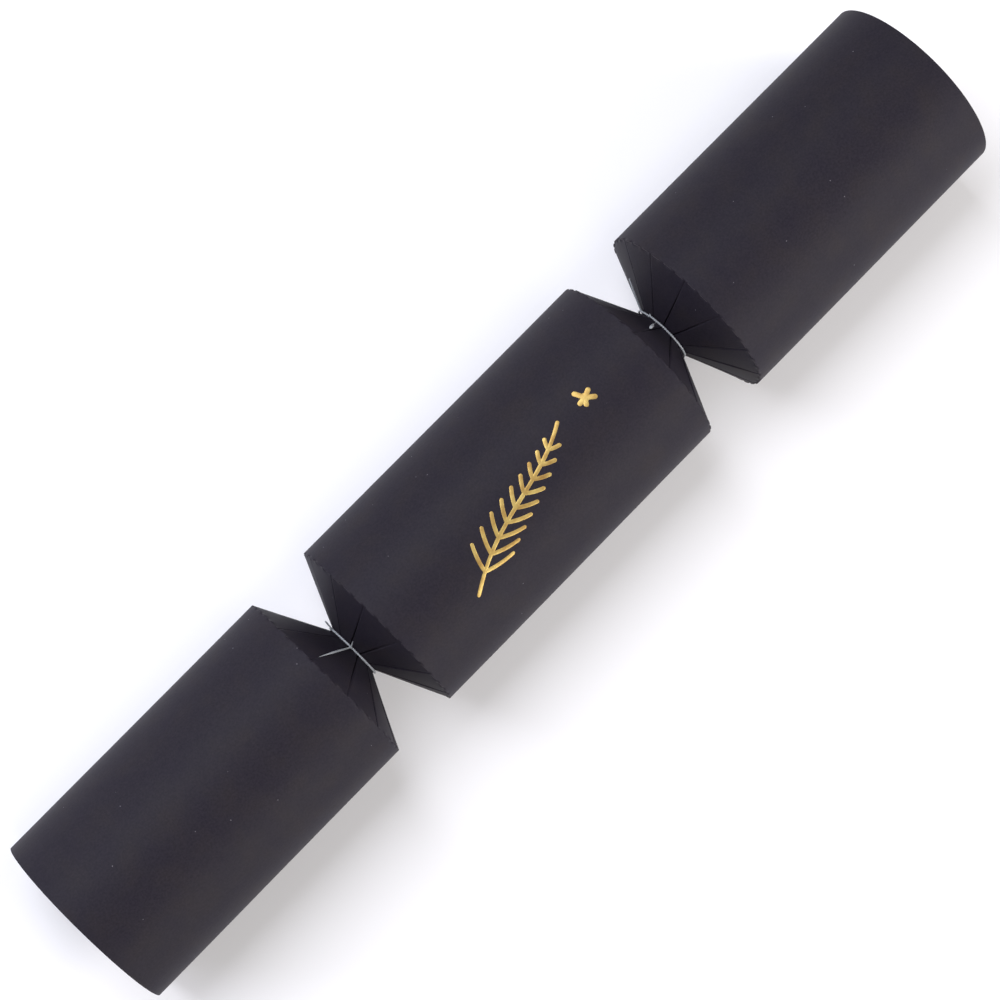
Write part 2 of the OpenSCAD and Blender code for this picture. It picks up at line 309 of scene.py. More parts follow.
# %% [markdown]
# ### Gold paint ink
# The ink is full of flat metal flakes that settle as it dries: a satin metal
# that flashes yellow where it faces the light and goes brown where it is thin.

# %% Gold ink
flake_size = 0.25 * mm
flake_relief = 0.03 * mm
pool_size = 2.5 * mm

gold_ink, tree, shader, place = start_look("gold_paint_ink_dried", Metallic=0.75, Roughness=0.46)
flakes = add_node(tree, "ShaderNodeTexNoise", {
    "Vector": place, "Scale": 1 / flake_size, "Detail": 3.0})
pools = add_node(tree, "ShaderNodeTexNoise", {
    "Vector": place, "Scale": 1 / pool_size, "Detail": 2.0})
ink_colour = colour_steps(
    tree, pools.outputs["Fac"], (0.3, "#8a6c38"), (0.5, "#9c8248"), (0.7, "#ab9557"))
tree.links.new(ink_colour, shader.inputs["Base Color"])
ink_bump = add_node(tree, "ShaderNodeBump", {
    "Height": flakes.outputs["Fac"], "Distance": flake_relief, "Strength": 0.5})
tree.links.new(ink_bump.outputs["Normal"], shader.inputs["Normal"])
print("made", gold_ink.name)

# %% [markdown]
# ### The hidden pieces: papers, wood, rubber and tape
# They show when the cracker is pulled. Each has a noise at the size of its own
# fibres, grit, creases or growth rings, which sets both its colour and relief.

# %% Papers, rubber and tape
def fibrous(name, fibre, low, high, rough=0.8, bump=0.02 * mm, stretch=(1, 1, 1)):
    """A finish with fibres or grit of a size, between two colours, and a relief
    as high as bump. A stretch below 1 draws its fibres out along that axis."""
    look, tree, shader, place = start_look(name, Roughness=rough, Specular_IOR_Level=0.3)
    turned = add_node(tree, "ShaderNodeMapping", {"Vector": place, "Scale": stretch})
    noise = add_node(tree, "ShaderNodeTexNoise", {
        "Vector": turned.outputs["Vector"], "Scale": 1 / fibre, "Detail": 4.0})
    tree.links.new(colour_steps(tree, noise.outputs["Fac"], (0.3, low), (0.7, high)),
                   shader.inputs["Base Color"])
    relief = add_node(tree, "ShaderNodeBump", {
        "Height": noise.outputs["Fac"], "Distance": bump, "Strength": 0.8})
    tree.links.new(relief.outputs["Normal"], shader.inputs["Normal"])
    print("made", name)
    return look


# recycled board: flecked, with its fibres along the strip
snap_card = fibrous("greyboard_snap_card", 0.8 * mm, "#a99a80", "#c4b597", stretch=(0.3, 1, 1))
# glued grit: dark, coarse and rough
gritty_patch = fibrous("friction_patch_gritty", 0.25 * mm, "#4c423b", "#8a7b6c", bump=0.08 * mm)
# writing paper: pale and nearly smooth
slip_paper = fibrous("uncoated_slip_paper", 1.2 * mm, "#e6dfd0", "#f3eee2", bump=0.01 * mm)
# dyed tissue: its crepe catches light across the roll
red_tissue = fibrous("red_tissue_creped", 1.5 * mm, "#8a1a27", "#b32c39", rough=0.7,
                     bump=0.15 * mm, stretch=(1, 0.35, 0.35))
# cut rubber: warm, with a dull skin
rubber = fibrous("natural_rubber_cut", 0.6 * mm, "#b98f66", "#d3ae84", rough=0.6)
# film with glue on both sides: the one glossy surface inside
sticky_tape = fibrous("double_sided_tape_film", 2 * mm, "#cfccc2", "#e4e1d8", rough=0.25,
                      bump=0.004 * mm)

# %% Turned beech
# satin from the chisel, with growth rings along the lathe's axis
ring_width = 1.8 * mm
pore_depth = 0.05 * mm

wood, tree, shader, place = start_look("beech_turned_bare", Roughness=0.55, Specular_IOR_Level=0.4)
along_grain = add_node(tree, "ShaderNodeMapping", {"Vector": place, "Scale": (0.12, 1, 1)})
rings = add_node(tree, "ShaderNodeTexNoise", {
    "Vector": along_grain.outputs["Vector"], "Scale": 1 / ring_width,
    "Detail": 4.0, "Distortion": 0.6})
wood_colour = colour_steps(
    tree, rings.outputs["Fac"], (0.3, "#b98e58"), (0.5, "#d3ab74"), (0.72, "#e2c190"))
tree.links.new(wood_colour, shader.inputs["Base Color"])
pores = add_node(tree, "ShaderNodeBump", {
    "Height": rings.outputs["Fac"], "Distance": pore_depth, "Strength": 0.6})
tree.links.new(pores.outputs["Normal"], shader.inputs["Normal"])
print("made", wood.name)

# %% [markdown]
# ## The rolled card
# The tube is one sheet, seen end on as a line that runs once round, climbs a
# short ramp and laps over its own beginning, with tape between. At each crease
# the sheet is perforated: short bridges of card fold inwards, and between them
# the cut edge stays straight and stands out as a row of small teeth.

# %% Perforation
# a tooth stands out this far times its own size
tooth = 0.12 * mm
tooth_size = rng.uniform(0.1, 1.6, cuts_per_pleat * pleats)
# on the tube the card bends in within this far of the crease, and by this much at a bridge
fold_round = 0.45 * mm
bridge_dip = 0.14 * mm
print(f"{len(tooth_size)} teeth round a crease, {tooth_size.min() * tooth / mm:.2f}"
      f" to {tooth_size.max() * tooth / mm:.2f} mm long")


def is_cut(a):
    """1 where direction a is on a cut of the perforation, 0 on a bridge. A
    bridge is centred on each fold, and two more lie between folds."""
    off = np.abs((a - first_fold + period / 2) % period - period / 2)
    return (off > bridge_a / 2).astype(float)


def tooth_scale(a):
    """How far the tooth in direction a stands out: a share that differs from tooth to tooth."""
    number = np.floor((a - first_fold) / period).astype(int) % len(tooth_size)
    return tooth_size[number]


# %% Directions at which the sheet has points
tooth_side_a = 0.12


def sheet_directions():
    """Angles from the sheet's inner edge to its outer one, a little more than a
    turn, with a pair at every side of a tooth so that it steps up cleanly."""
    half = bridge_a / 2
    cut_a = period - bridge_a
    within = np.array([-half - tooth_side_a, -half + tooth_side_a, 0, half - tooth_side_a,
                       half + tooth_side_a, half + cut_a / 3, half + 2 * cut_a / 3])
    # many turns of bridges, of which the sheet's own are kept
    starts = first_fold + period * np.arange(-60, 160)
    a = (starts[:, None] + within).ravel()
    low, high = lap_start, lap_start + 360 + lap_a
    return np.unique(np.concatenate([a[(a > low) & (a < high)], [low, high]]))


# %% Shape of the rolled sheet
hollow = 0.16 * mm
# beyond this far from its rims the card has evenly spaced rows, this many of them
rim_band = 4 * mm
middle_rows = 22


def sheet_r(a):
    """Radius of the sheet's outside at angle a: the tube's, then up a smooth
    ramp to the lap's."""
    return tube_r + (axis_z - tube_r) * smooth_step(lap_start + 360 - ramp_a, lap_start + 360, a)


def out_of_round(x, a):
    """How far the card lies inside a true circle: up to a hollow of 0.16 mm, in
    slow waves round it and along it, and nothing below, where it lies on the table."""
    t = np.radians(a)
    wave = 0.5 + 0.3 * np.sin(2 * t + 60 * x) + 0.2 * np.sin(3 * t - 45 * x + 1)
    return hollow * wave * (1 + np.sin(t)) / 2


def card_tube(low_x, high_x, low_folded, high_folded):
    """Outside and inside of a length of tube. A row of points follows the rim:
    at a folded end it steps out on each tooth, and bends in on each bridge by
    bridge_dip (1 - s)^2, for s the share of the way back to straight card."""
    close = np.array([0, 0.12, 0.25, 0.45, 0.8, 1.6]) * mm
    middle = np.linspace(low_x + rim_band, high_x - rim_band, middle_rows)
    x = np.concatenate([low_x + close, middle, (high_x - close)[::-1]])[:, None]
    a = sheet_directions()[None, :]
    shift, drop = 0, 0
    for rim, side, folded in [(low_x, -1, low_folded), (high_x, 1, high_folded)]:
        if folded:
            near = np.clip(1 - np.abs(x - rim) / fold_round, 0, 1)
            shift = shift + side * tooth * tooth_scale(a) * is_cut(a) * near
            drop = drop + bridge_dip * near ** 2 * (1 - is_cut(a))
    r = sheet_r(a) - out_of_round(x, a) - drop
    return on_axis(x + shift, r, a), on_axis(x + shift, r - card_t, a)


# %% The barrel and the two handles
# where each tube starts and ends, and whether that end is folded
tube_ends = {
    "barrel": (-barrel_crease, barrel_crease, True, True),
    "left_handle": (-rim_x, -handle_crease, False, True),
    "right_handle": (handle_crease, rim_x, True, False),
}
for body, ends in tube_ends.items():
    points, faces, edges = thick_sheet(*card_tube(*ends), ring=False)
    piece = new_piece(f"{body}_card", points, faces, [black_card, cut_edge], edges)
    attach(piece, body)
    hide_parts(f"{body}_tube")

# %% [markdown]
# ## The pleated waists
# Round a waist the card is too wide for the thread, so it folds in on itself at
# thirteen scored lines. What shows outside is thirteen facets, round at the
# crease and flat at the choke, with a dark slit between each two. Inside, each
# fold is a fin of two layers. One function gives a whole pleat, as columns
# across it and rows from the crease, t = 0, to the choke, t = 1.

# %% Columns across one pleat
# shares of a facet: from a column to the side of its tooth, and from an end over the shoulder
tooth_side = 0.004
shoulder_share = 0.04


def facet_shares():
    """Places across a facet, from 0 to 1: close together at its two rounded
    shoulders, and a pair at each side of a tooth."""
    half = bridge_a / pitch / 2
    bridges = np.arange(cuts_per_pleat + 1) / cuts_per_pleat
    sides = np.concatenate([bridges + way * half + step
                            for way in (-1, 1) for step in (-tooth_side, tooth_side)])
    between = np.concatenate([bridges[1:-1], (bridges[:-1] + bridges[1:]) / 2])
    ends = shoulder_share * np.array([0, 0.2, 0.5, 1])
    shares = np.concatenate([sides, between, ends, 1 - ends])
    return np.unique(shares[(shares >= 0) & (shares <= 1)].round(5))


facet = facet_shares()
# a pleat is the bottom of its slit, half way up one wall, the facet, half way down the other
slit_share = np.concatenate([[1, 0.5], 0 * facet, [0.5]])
facet_share = np.concatenate([[0, 0], facet, [1]])
print(len(facet_share), "columns a pleat")

# %% How folds differ from each other
# a factor on each slit's width, each fold's lean in degrees, and each facet's tilt
slit_width = rng.uniform(0.6, 1.2, pleats)
fold_lean = rng.uniform(-1.6, 1.6, pleats)
facet_tilt = rng.uniform(0.15, 0.4, pleats) * mm
# how far the thread pulled each choke aside, along the cracker and across it
lean = {"left": (0.45 * mm, 0), "right": (0.45 * mm, 0.28 * mm)}
print(f"folds lean by {fold_lean.min():.1f} to {fold_lean.max():.1f} degrees")

# %% Sizes of a fold
# half of a slit's width at the crease, and what it gains within this share of the way
slit_start, slit_gain, gained_by = 0.05 * mm, 0.19 * mm, 0.35
# a slit's depth at the crease, and what it gains on the whole way
slit_depth, slit_deepening = 0.12 * mm, 2.1 * mm
# how much a facet's shoulders drop, and how far inside the card a fin's tip starts
shoulder_r, fin_start = 0.25 * mm, 0.1 * mm
# on the cone a cut lies this much lower than a bridge, and both rise again within this far
cut_dip, dip_reach = 0.3 * mm, 0.6 * mm

# %% Rows of a pleated cone, and its facets
def cone_rows(crease_x, choke_end_x, throat_x):
    """The share t of the way and the place x of each row, closer together at
    the crease, with a last one where the throat goes straight on."""
    t = np.array([0, 0.01, 0.025, 0.05, 0.09, *np.linspace(0.15, 1, 14)])
    x = crease_x + (choke_end_x - crease_x) * t
    if throat_x != choke_end_x:
        t = np.append(t, 1)
        x = np.append(x, throat_x)
    return t[:, None], x[:, None]


def across(first, last):
    """A value for each column of every pleat, moving from its first side to its last."""
    return (first[:, None] + (last - first)[:, None] * facet_share).ravel()


def facets(t, fold_r, slit, share):
    """Directions from its fold, and radii, of each pleat's facet and the walls
    of its slit. A facet lies outside the fold line by a factor 1 - t + t
    cos(pitch/2) / cos(angle from its middle), which is a circle at t = 0 and a
    flat side at t = 1."""
    half_slit = slit_start + slit_gain * smooth_step(0, gained_by, t)
    edge = np.degrees(half_slit * across(slit_width, np.roll(slit_width, -1)) / fold_r)
    wall_a = np.where(share > 0.5, pitch - edge * (1 - slit), edge * (1 - slit))
    a = np.where(slit > 0, wall_a, edge + share * (pitch - 2 * edge))
    from_middle = np.radians(a - pitch / 2)
    return a, fold_r * (1 - t + t * math.cos(math.radians(pitch / 2)) / np.cos(from_middle))


# %% Shape of a pleated cone
def pleated_cone(crease_x, choke_end_x, throat_x, lean_x, lean_y):
    """Outside and inside of the folded card from its crease to the choke.
    A fold line runs straight, r = tube_r + t (choke_r - tube_r), and facets lie
    between fold lines. Their shoulders are rounded, a slit cuts in at each
    fold, and they tilt like slates. The choke lies aside by the lean, and the
    crease doesn't."""
    t, x = cone_rows(crease_x, choke_end_x, throat_x)
    slit = np.tile(slit_share, pleats)
    share = np.tile(facet_share, pleats)
    fold_r = tube_r + t * (choke_r - tube_r)
    fold = first_fold + pitch * np.arange(pleats)
    base = np.repeat(fold, len(facet_share)) + across(fold_lean, np.roll(fold_lean, -1)) * t
    a, facet_r = facets(t, fold_r, slit, share)
    tilt = across(facet_tilt, facet_tilt) * (0.5 - share) * np.sin(np.pi * t ** 0.7)
    slope_length = math.hypot(choke_end_x - crease_x, tube_r - choke_r)

    # outside: shoulders, slits and the perforation's notches are taken off the facets
    from_edge = np.minimum(share, 1 - share) / shoulder_share
    shoulder = shoulder_r * (1 - np.sqrt(1 - np.clip(1 - from_edge, 0, 1) ** 2))
    near = np.clip(1 - t * slope_length / dip_reach, 0, 1)
    notch = (bridge_dip + cut_dip * is_cut(base + a)) * near
    depth = slit_depth + slit_deepening * t
    outer_r = facet_r + tilt - (slit == 0) * shoulder - slit * depth - notch

    # inside: the back of each facet, and under each fold the tip of its fin of two layers
    wall_t = card_t * slope_length / abs(choke_end_x - crease_x)
    root_r = fold_r - wall_t
    tip_r = root_r - (fin_start + t * (choke_r - wall_t - snap_room - fin_start))
    tip_a, root_a = np.degrees(card_t / tip_r), np.degrees(card_t / root_r)
    fin_a = np.where(share > 0.5, pitch - tip_a, tip_a) * (slit < 1)
    back_a = root_a + share * (pitch - 2 * root_a)
    inner_r = np.where(slit > 0, tip_r, facet_r + tilt - wall_t)
    inner_a = np.where(slit > 0, fin_a, back_a)
    aside = t[..., None] * np.array([lean_x, lean_y, 0])
    return aside + on_axis(x, outer_r, base + a), aside + on_axis(x, inner_r, base + inner_a)


# %% The four halves of the waists
# the barrel's cone reaches the choke this far before its end, and goes straight on
throat_length = 0.8 * mm

for side, word in [(-1, "left"), (1, "right")]:
    for half, crease_x, choke_end, body in [
            ("barrel", barrel_crease, throat_end - throat_length, f"{word}_neck"),
            ("handle", handle_crease, throat_end, None)]:
        grids = pleated_cone(side * crease_x, side * choke_end, side * throat_end, *lean[word])
        points, faces, edges = thick_sheet(*grids, ring=True)
        piece = new_piece(f"{word}_{half}_pleats", points, faces,
                          [black_card, cut_edge], edges, crisp=50)
        if body:
            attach(piece, body)
        else:
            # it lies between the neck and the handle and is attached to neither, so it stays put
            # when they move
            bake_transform(piece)
        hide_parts(f"{word}_{half}_cone")

# %% [markdown]
# ## The ties
# A thread goes once round each choke, is knotted on top and cut off short. It
# is two plies twisted together, so its section is two lobes that turn as they
# go along the path: a circle carried along a line, with a groove that winds
# round it.

# %% A twisted thread along a path
thread_r = 0.25 * mm
twist_length = 1.3 * mm
# how deep the groove between the two plies is, as a share of the radius
groove = 0.3


def thread_along(path, reference, ring, thick=(1.0,)):
    """Points, faces and end caps of a two-ply thread along a path of points.
    The radius in direction p is r (1 - groove cos^2(p - turn)), which has two
    lobes, and turn grows by one round in each twist_length. Directions are
    measured from the part of reference that is square to the path. The thread
    is thick times thread_r, with the values of thick spaced evenly along it."""
    ahead = np.roll(path, -1, 0) - np.roll(path, 1, 0) if ring else np.gradient(path, axis=0)
    ahead = ahead / np.linalg.norm(ahead, axis=1, keepdims=True)
    reference = np.broadcast_to(reference, path.shape)
    up = reference - np.sum(reference * ahead, 1, keepdims=True) * ahead
    up = up / np.linalg.norm(up, axis=1, keepdims=True)
    beside = np.cross(ahead, up)
    steps = np.linalg.norm(np.diff(path, axis=0), axis=1)
    gone = np.concatenate([[0], np.cumsum(steps)])
    length = gone[-1] + (np.linalg.norm(path[0] - path[-1]) if ring else 0)
    twists = max(1, round(length / twist_length))
    turn = 2 * np.pi * twists * gone / length
    r = thread_r * np.interp(gone / length, np.linspace(0, 1, len(thick)), thick)
    p = np.linspace(0, 2 * np.pi, 12, endpoint=False)
    lobes = r[:, None] * (1 - groove * np.cos(p - turn[:, None]) ** 2)
    points = path[:, None] + lobes[..., None] * (
        np.cos(p)[:, None] * up[:, None] + np.sin(p)[:, None] * beside[:, None])
    rows, cols = points.shape[:2]
    faces = grid_faces(rows + 1 if ring else rows, cols, True) % (rows * cols)
    caps = () if ring else (range(cols)[::-1], range((rows - 1) * cols, rows * cols))
    return points.reshape(-1, 3), faces, caps


# %% Loop, knot and loose ends
# how far the thread's middle and the knot's lie outside the choke's corners
thread_lift = 0.3 * mm
knot_lift = 0.5 * mm
# how much the loop follows the facets and not a circle, and how wide its hook is, in degrees
hug_share = 0.6
hook_a_width = 15
# a loose end curves away from the card by this share of its length, and no end
# runs along this direction, from which its section is measured
end_curve = 0.06
end_reference = (0, 1.0, 0.3)


def loop_path(x, hook_a, hook, steps=300):
    """The loop hugs the flat facets, r = flat / cos(angle from a facet's
    middle), softened towards a circle, and stands off by a bell-shaped hook:
    hook e^(-(angle / its width)^2)."""
    a = np.linspace(0, 360, steps, endpoint=False)
    off = (a - first_fold) % pitch - pitch / 2
    flat = choke_r * math.cos(math.radians(pitch / 2))
    hug = hug_share * flat / np.cos(np.radians(off)) + (1 - hug_share) * choke_r
    from_hook = (a - hook_a + 180) % 360 - 180
    stand_off = hook * mm * np.exp(-(from_hook / hook_a_width) ** 2)
    return on_axis(x, hug + thread_lift + stand_off, a)


def knot_path(centre, size, steps=72):
    """A trefoil, the shape of an overhand knot pulled tight: (sin t + 2 sin 2t,
    cos t - 2 cos 2t, -sin 3t), scaled to the knot's size."""
    t = np.linspace(0, 2 * np.pi, steps, endpoint=False)
    trefoil = np.stack([
        np.sin(t) + 2 * np.sin(2 * t), np.cos(t) - 2 * np.cos(2 * t), -np.sin(3 * t)], 1)
    return centre + trefoil * (size / 2 - thread_r) / 3, trefoil


def bezier(controls, steps):
    """Points on the Bezier curve of the controls: the sum over k of
    C(n, k) (1 - t)^(n - k) t^k times control k."""
    controls = np.array(controls, float)
    n = len(controls) - 1
    t = np.linspace(0, 1, steps)[:, None]
    return sum(math.comb(n, k) * (1 - t) ** (n - k) * t ** k * c for k, c in enumerate(controls))


# %% Where each tie is knotted, and where its ends point
# hook: (direction, mm) where the loop stands off the card
# knot: (direction, size in mm)
# ends: the direction where it leaves the loop; its tip, as mm from the middle of
# the waist towards the handle, direction, and mm from the axis; and how thick it
# is beside thread_r, in even steps from the loop to the tip
ties = {
    "left": dict(side=-1, hook=(24, 0.1), knot=(84, 0.95), ends=[
        (84, 6.53, 78.2, 21.1, (0.8, 0.9, 1.05, 1.1, 0.7, 0.2)),
        (84, -1.5, 82.5, 10.7, (0.7, 0.6, 0.4)),
        (26, -0.62, 30, 10.6, (1, 0.8, 0.9, 0.9))]),
    "right": dict(side=1, hook=(8, 0.6), knot=(46, 1.0), ends=[
        (66, -3.1, 77, 14.9, (0.15, 0.15, 0.15, 0.2, 1.1, 1.6, 1.5)),
        (14, 3.3, 21, 16.2, (0.9, 1, 1, 0.9, 0.5))]),
}

# %% The two ties
def joined(parts):
    """Several sets of points, faces and caps as one."""
    start, points, faces, caps = 0, [], [], []
    for p, f, c in parts:
        points.append(p)
        faces.append(f + start)
        caps += [[i + start for i in cap] for cap in c]
        start += len(p)
    return np.concatenate(points), np.concatenate(faces), caps


for word, tie in ties.items():
    side = tie["side"]
    lean_x, lean_y = lean[word]
    aside = np.array([lean_x, lean_y, 0])
    parts = [thread_along(aside + loop_path(side * choke_x, *tie["hook"]), (1.0, 0, 0), ring=True)]
    knot_a, knot_size = tie["knot"]
    knot_at = aside + on_axis(side * choke_x, choke_r + knot_lift, knot_a)
    knot, facing = knot_path(knot_at, knot_size * mm)
    parts.append(thread_along(knot, facing, ring=True, thick=(0.8,)))
    for leave_a, out, tip_a, tip_r, thick in tie["ends"]:
        leave = aside + on_axis(side * choke_x, choke_r + thread_lift, leave_a)
        tip = on_axis(side * (choke_x + out * mm), tip_r * mm, tip_a)
        away = on_axis(0, 1, leave_a) - on_axis(0, 0, leave_a)
        bend = 0.5 * (leave + tip) + end_curve * np.linalg.norm(tip - leave) * away
        parts.append(thread_along(bezier([leave, bend, tip], 40), end_reference,
                                  ring=False, thick=thick))
    points, faces, caps = joined(parts)
    piece = new_piece(f"{word}_thread", points, faces, [thread_look],
                      caps=caps, crisp=80)
    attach(piece, f"{word}_neck")
    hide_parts(f"{word}_tie")

# %% [markdown]
# ## Gold drawing on the barrel
# A line of gold paint ink is about 0.9 mm wide and stands a little proud of
# the card, with round ends. Each line is drawn on the sheet laid flat, where x
# runs along the cracker and the other way is distance round it, and is then
# rolled up with the tube.

# %% One ink line
line_width = 0.9 * mm
# how far its top lies above the card, and its bottom inside it
ink_height, ink_foot = 0.05 * mm, 0.15 * mm
# its width wavers by this share, by one radian of a sine in this length
waver, waver_pace = 0.05, 1.7 * mm


def ink_line(controls, steps=48, width=line_width):
    """Points, faces and caps of a dried line of ink. Across it lies a low dome,
    width/2 cos p by ink_height sin p. Its half width is shortened at both ends
    by the root of 1 - s^2, for s the share of the way into the round end, and
    wavers by a few hundredths along it."""
    flat = bezier(controls, steps) * mm
    gone = np.concatenate([[0], np.cumsum(np.linalg.norm(np.diff(flat, axis=0), axis=1))])
    # rows crowd towards the ends, where the line rounds off
    along = gone[-1] * (1 - np.cos(np.linspace(0, np.pi, steps))) / 2
    flat = np.stack([np.interp(along, gone, flat[:, k]) for k in (0, 1)], 1)
    ahead = np.gradient(flat, axis=0)
    ahead = ahead / np.linalg.norm(ahead, axis=1, keepdims=True)
    beside = np.stack([-ahead[:, 1], ahead[:, 0]], 1)
    # 0.999 leaves the very ends a little width, so that no face vanishes there
    to_end = np.minimum(along, gone[-1] - along)
    end = np.sqrt(1 - np.clip(1 - to_end / (width / 2), 0, 0.999) ** 2)
    half = width / 2 * end * (1 + waver * np.sin(along / waver_pace))
    p = np.linspace(0, 2 * np.pi, 12, endpoint=False)
    line = flat[:, None] + half[:, None, None] * np.cos(p)[:, None] * beside[:, None]
    lift = np.where(np.sin(p) > 0, ink_height, ink_foot) * np.sin(p) * end[:, None]
    x, a = line[..., 0], 90 + np.degrees(line[..., 1] / tube_r)
    points = on_axis(x, tube_r - out_of_round(x, a) + lift, a)
    rows, cols = points.shape[:2]
    caps = (range(cols)[::-1], range((rows - 1) * cols, rows * cols))
    return points.reshape(-1, 3), grid_faces(rows, cols, True), caps


# %% A sprig of fir
# distances in mm: along the cracker from its middle, then round it from the top
stem = [(-24, 12.5), (-10, 1.5), (4, 4.5), (17, -3.5)]
stem_points = bezier(stem, 101)
# pairs of needles, each some points further up the stem and shorter than the last
needle_pairs, first_at, points_apart = 9, 12, 9
needle_length, needle_loss = 8.2, 0.62
# the angle between a needle and the stem, and its share of the length, on either side
needle_sides = [(42, 1), (-42, 0.9)]
# a needle sets off at a wider angle than it ends at, by this factor
set_off = 1.25

lines = [ink_line(stem, 80)]
for k in range(needle_pairs):
    n = first_at + points_apart * k
    at = stem_points[n]
    way = stem_points[n + 1] - stem_points[n - 1]
    heading = math.degrees(math.atan2(way[1], way[0]))
    for turn, length_share in needle_sides:
        needle = (needle_length - needle_loss * k) * length_share
        far = math.radians(heading + turn)
        mid = math.radians(heading + set_off * turn)
        lines.append(ink_line([
            at, at + 0.5 * needle * np.array([math.cos(mid), math.sin(mid)]),
            at + needle * np.array([math.cos(far), math.sin(far)])], 24))
print("sprig:", len(lines), "lines")

# %% A star beside it, and the whole drawing
star_centre = np.array([25.15, -2.8])
star_width = 1.15 * mm
# each arm: its direction in the flat sheet, and its length in mm
star_arms = [(-23, 2.5), (39, 2.9), (125, 2.2), (174, 2.4), (245, 3.2)]
# each starts a little behind the centre, where a short thick line makes the hub
for heading, arm in star_arms:
    way = np.array([math.cos(math.radians(heading)), math.sin(math.radians(heading))])
    lines.append(ink_line([star_centre - 0.6 * way, star_centre + 0.5 * arm * way,
                           star_centre + arm * way], 20, width=star_width))
hub_width = 2.1 * mm
across_hub = np.array([0.5 * hub_width / mm, 0])
lines.append(ink_line([star_centre - across_hub, star_centre, star_centre + across_hub], 24,
                      width=hub_width))
points, faces, caps = joined(lines)
drawing = new_piece("gold_drawing", points, faces, [gold_ink], caps=caps, crisp=80)
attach(drawing, "barrel")

# %% [markdown]
# ## Rolled papers
# The tissue crown and the motto slip are long sheets rolled up. Seen end on
# each is a spiral, r = r0 + (gap a turn) turns, and the soft tissue also
# wrinkles. The crown's pointed edge shows as a ragged end to its roll.

# %% A rolled sheet
steps_a_turn = 48
steps_along = 40


def rolled_sheet(node, core, thick, turns, wrinkle, points_out):
    """Outside and inside of a sheet rolled inside a node's box, along X. The
    radius grows evenly from core to the box's. A wrinkle of sin(9a + 5 sin 6s)
    sin(40s + 2a) is added, for a in turns and s the share of the length. One
    end is cut in a zigzag, points_out deep, with a point in each 0.8 turn."""
    low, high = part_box(node)
    centre_y, centre_z = (low.y + high.y) / 2, (low.z + high.z) / 2
    reach = min(high.y - low.y, high.z - low.z) / 2 - wrinkle - thick
    a = np.linspace(0, turns, int(turns * steps_a_turn))[None, :]
    share = np.linspace(0, 1, steps_along)[:, None]
    zigzag = points_out * np.abs((a * 2.5) % 2 - 1)
    x = low.x + (high.x - low.x - zigzag) * share
    r = core + (reach - core) * a / turns
    r = r + wrinkle * np.sin(9 * a + 5 * np.sin(6 * share)) * np.sin(40 * share + 2 * a)
    t = 2 * np.pi * a
    both_faces = []
    for radius in (r + thick, r):
        both_faces.append(np.stack([x + 0 * radius, centre_y + radius * np.cos(t),
                                    centre_z + radius * np.sin(t)], -1))
    return both_faces


# %% The crown and the motto
for name, node, slot, look, body, shape in [
        ("tissue_crown", "crown_roll", "tissue_paper", red_tissue, "crown",
         dict(core=1.6 * mm, thick=0.12 * mm, turns=11, wrinkle=0.09 * mm, points_out=5 * mm)),
        ("motto_slip", "motto_roll", "slip_paper", slip_paper, "motto",
         dict(core=1.1 * mm, thick=0.1 * mm, turns=5, wrinkle=0.01 * mm, points_out=0))]:
    points, faces, edges = thick_sheet(*rolled_sheet(node, **shape), ring=False)
    piece = new_piece(name, points, faces, [look], crisp=50)
    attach(piece, body)
    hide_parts(node)

# %% [markdown]
# ## Finishes for the plain pieces
# The snap, the ring, the tape and the top keep their measured shapes, and only
# need their materials.

# %% Materials on the measured pieces
measured = {
    sticky_tape: ["barrel_seam_tape", "left_seam_tape", "right_seam_tape"],
    snap_card: ["left_snap_strip", "right_snap_strip"],
    slip_paper: ["snap_band"],
    gritty_patch: ["left_snap_patch", "right_snap_patch"],
    rubber: ["crown_ring"],
    wood: ["top_disc", "top_spindle"],
}
for look, nodes in measured.items():
    for node in nodes:
        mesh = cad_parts[node].data
        mesh.materials.clear()
        mesh.materials.append(look)
    print(look.name, "on", ", ".join(nodes))

# %% [markdown]
# ## Table, light and camera
# The cracker lies on a plain white table. Soft lamps stand low at both sides,
# with one higher up, so that the round card is palest at its two flanks and its
# shadow falls to one side. Near the cracker the lamps light the table, and a
# faint glow that only the camera and mirrors see helps them. The glow is
# stronger on the side away from the shadow, and that is painted light: it whitens
# out the faint shadow that the two low lamps on the shadow side cast there. Far
# off it is pure white.

# %% What the eye and mirrors see
def seen_directly(tree):
    """1 for light that goes straight to the camera, or to it by way of a gloss
    or through something clear, and 0 for light that falls on other surfaces."""
    path = add_node(tree, "ShaderNodeLightPath")
    gloss_or_clear = add_node(tree, "ShaderNodeMath", {
        0: path.outputs["Is Glossy Ray"], 1: path.outputs["Is Transmission Ray"]},
        operation="MAXIMUM")
    return add_node(tree, "ShaderNodeMath", {
        0: path.outputs["Is Camera Ray"], 1: gloss_or_clear.outputs[0]},
        operation="MAXIMUM").outputs[0]


# %% White table
table_size = 6
# how strongly it glows near the cracker, how far that reaches, and where it is pure white
near_glow = 0.07
shadow_reach, white_from = 0.28, 0.9
# painted light: the glow it gains on the side away from the shadow, which hides
# the low lamps' faint shadow there; where that starts and where it is full
painted_fill_glow = 0.13
painted_fill_from, painted_fill_full = tube_r - 4 * mm, tube_r + 12 * mm

